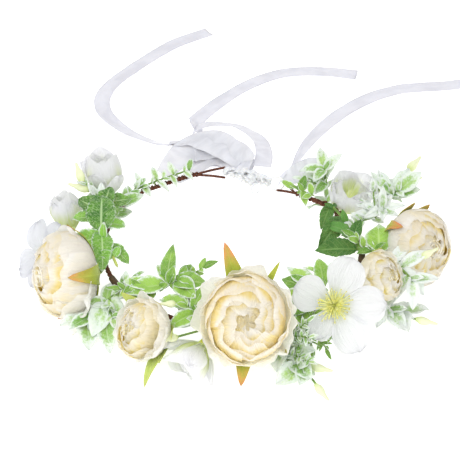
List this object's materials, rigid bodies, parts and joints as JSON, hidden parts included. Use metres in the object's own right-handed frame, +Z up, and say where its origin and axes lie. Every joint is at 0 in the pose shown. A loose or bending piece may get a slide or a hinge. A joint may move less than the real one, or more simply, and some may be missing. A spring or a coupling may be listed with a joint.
{
  "type": "flower crown",
  "caption": "Flower crown: an open wire ring with cream roses, rosebuds, white blossoms and leaf sprigs, two flexing bare arms and a knotted satin ribbon with loose tails.",
  "frame": {"origin": "on the surface that the crown rests on, under the middle of the crown's box without its ribbon", "axes": "+Z up; the large rose at the crown's front faces -Y, the ribbon tie is at +Y, and the wearer's left is at +X when the crown is worn flowers forward"},
  "size_m": [0.3766, 0.5359, 0.0836],
  "materials": {
    "wire_paper": "matte twisted paper",
    "floral_tape": "waxed crepe paper",
    "petal_cream": "matte coated silk cloth",
    "petal_white": "matte coated silk cloth",
    "sepal_green": "soft moulded, satin",
    "leaf_green": "veined, satin",
    "leaf_frosted": "flocked and frosted at the edges",
    "bud_green": "soft moulded",
    "stamen_yellow": "matte",
    "ribbon_satin": "thin satin, soft sheen"
  },
  "bodies": {
    "wreath": {"bow_folds": "ribbon_satin", "bow_loop": "ribbon_satin", "centre_bud_sprig": "leaf_green", "core_wire": "wire_paper", "front_blossom_petals": "petal_white", "front_blossom_stamens_and_stem": "stamen_yellow", "front_inner_sprig": "leaf_green", "front_low_sprig": "leaf_frosted", "front_tape": "floral_tape", "front_tulip_calyx": "bud_green", "front_tulip_petals": "petal_white", "left_back_bud_stems": "bud_green", "left_back_leaves": "leaf_frosted", "left_back_tulip_calyx": "bud_green", "left_back_tulip_petals": "petal_white", "left_blossom_petals": "petal_white", "left_blossom_stamens_and_stem": "stamen_yellow", "left_inner_sprig": "leaf_green", "left_low_sprig": "leaf_frosted", "left_mint_sprig": "leaf_green", "left_side_tulip_calyx": "bud_green", "left_side_tulip_petals": "petal_white", "left_tape": "floral_tape", "left_tie": "ribbon_satin", "right_back_cluster": "leaf_frosted", "right_back_leaves": "leaf_frosted", "right_back_tulip_calyx": "bud_green", "right_back_tulip_petals": "petal_white", "right_binding_coil": "wire_paper", "right_broad_leaf": "leaf_green", "right_bud_stems": "bud_green", "right_frosted_cluster": "leaf_frosted", "right_inner_leaves": "leaf_green", "right_lily_leaves": "leaf_frosted", "right_low_sprig": "leaf_frosted", "right_tape": "floral_tape", "right_tie": "ribbon_satin", "rose_front_calyx": "sepal_green", "rose_front_petals": "petal_cream", "rose_left_calyx": "sepal_green", "rose_left_petals": "petal_cream", "rose_right_calyx": "sepal_green", "rose_right_petals": "petal_cream", "rosebud_left_calyx": "sepal_green", "rosebud_left_petals": "petal_cream", "rosebud_right_calyx": "sepal_green", "rosebud_right_petals": "petal_cream", "tail_a": "ribbon_satin", "tail_b": "ribbon_satin", "tail_c": "ribbon_satin", "tie_knot": "ribbon_satin"},
    "left_arm": {"left_arm_strand_a": "wire_paper", "left_arm_strand_b": "wire_paper", "left_arm_sprig": "leaf_frosted"},
    "right_arm": {"right_arm_strand_a": "wire_paper", "right_arm_strand_b": "wire_paper", "right_arm_sprig": "leaf_green"}
  },
  "joints": [
    {"name": "left_arm_flex", "type": "hinge", "parent": "wreath", "child": "left_arm", "pos_m": [-0.07981, 0.08056, 0.027], "axis": [0, 0, -1], "range_deg": [-5, 10], "deforming": ["left_tie"]},
    {"name": "right_arm_flex", "type": "hinge", "parent": "wreath", "child": "right_arm", "pos_m": [0.06287, 0.07052, 0.027], "axis": [0, 0, 1], "range_deg": [-5, 10], "deforming": ["right_tie"]}
  ]
}
